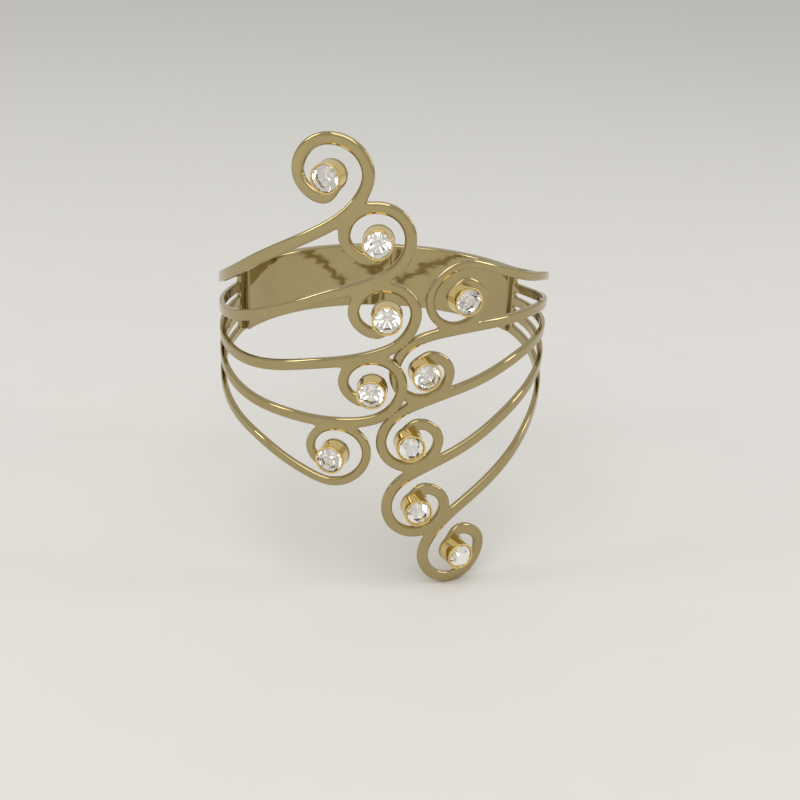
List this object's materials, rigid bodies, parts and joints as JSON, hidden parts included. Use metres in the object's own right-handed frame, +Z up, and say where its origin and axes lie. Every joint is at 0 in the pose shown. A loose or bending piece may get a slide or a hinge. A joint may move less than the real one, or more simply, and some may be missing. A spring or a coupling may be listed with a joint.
{
  "type": "curtain tieback buckle",
  "caption": "Open springy cuff whose gold strands end in a chain of spiral scrolls set with clear stones; it grips a gathered curtain and holds it back.",
  "frame": {"origin": "on the cuff's axis, level with the middle of its height", "axes": "+Z up along the cuff's axis, the overlapping ends in front toward -Y, +X to the viewer's right"},
  "size_m": [0.0758, 0.0809, 0.1006],
  "materials": {
    "gold_plate": "mirror-polished pale gold plating",
    "cup_gold": "polished yellow gold plating",
    "clear_stone": "clear faceted glass with a mirror back"
  },
  "bodies": {
    "root": {"cuff": "gold_plate", "stone_cup_left_1": "cup_gold", "stone_left_1": "clear_stone", "stone_cup_left_2": "cup_gold", "stone_left_2": "clear_stone", "stone_cup_left_3": "cup_gold", "stone_left_3": "clear_stone", "stone_cup_left_4": "cup_gold", "stone_left_4": "clear_stone", "stone_cup_left_5": "cup_gold", "stone_left_5": "clear_stone", "stone_cup_right_1": "cup_gold", "stone_right_1": "clear_stone", "stone_cup_right_2": "cup_gold", "stone_right_2": "clear_stone", "stone_cup_right_3": "cup_gold", "stone_right_3": "clear_stone", "stone_cup_right_4": "cup_gold", "stone_right_4": "clear_stone", "stone_cup_right_5": "cup_gold", "stone_right_5": "clear_stone"}
  },
  "joints": []
}
